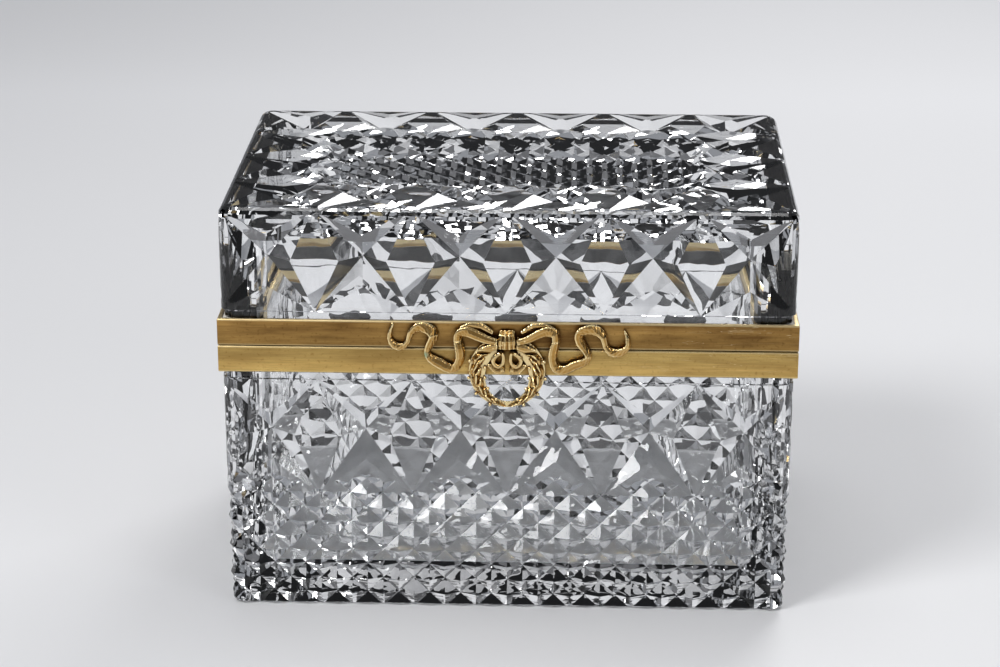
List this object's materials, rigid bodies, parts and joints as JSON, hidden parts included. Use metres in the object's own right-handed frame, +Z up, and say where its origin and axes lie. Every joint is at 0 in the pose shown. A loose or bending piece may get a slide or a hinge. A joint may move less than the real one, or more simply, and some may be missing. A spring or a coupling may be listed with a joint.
{
  "type": "cut glass casket box",
  "caption": "Rectangular cut glass casket with brass-bound rims, a hinged lid and a bow and laurel thumb-piece, for papers and keepsakes.",
  "frame": {"origin": "centre of the flat underside of the base, on the table", "axes": "+X along the width to the right as seen from the front, +Y to the back where the hinge is, +Z up; the ornament faces -Y"},
  "size_m": [0.18, 0.1258, 0.133],
  "materials": {
    "cut_glass": "polished clear lead glass",
    "lower_rim": "brushed gilt brass with fine scratches",
    "upper_rim": "brushed gilt brass with brown patina",
    "hinge_brass": "satin brass",
    "ornament_gilt": "chased gilt brass with dark recesses",
    "plaster": "matt setting plaster"
  },
  "bodies": {
    "base": {"base_glass": "cut_glass", "base_bedding": "plaster", "base_band": "lower_rim", "base_lip": "lower_rim", "hinge_base_leaf": "hinge_brass", "hinge_base_rivets": "hinge_brass", "hinge_pin": "hinge_brass"},
    "lid": {"lid_glass": "cut_glass", "lid_bedding": "plaster", "lid_band": "upper_rim", "hinge_lid_leaf": "hinge_brass", "hinge_lid_rivets": "hinge_brass", "bow_knot": "ornament_gilt", "bow_left": "ornament_gilt", "bow_right": "ornament_gilt", "tail_left": "ornament_gilt", "tail_right": "ornament_gilt", "pendant_left": "ornament_gilt", "pendant_right": "ornament_gilt", "wreath_ring": "ornament_gilt", "laurel_left": "ornament_gilt", "laurel_right": "ornament_gilt", "ornament_pegs": "ornament_gilt"}
  },
  "joints": [
    {"name": "lid_hinge", "type": "hinge", "parent": "base", "child": "lid", "pos_m": [0, 0.06, 0.0887], "axis": [-1, 0, 0], "range_deg": [0, 100]}
  ]
}
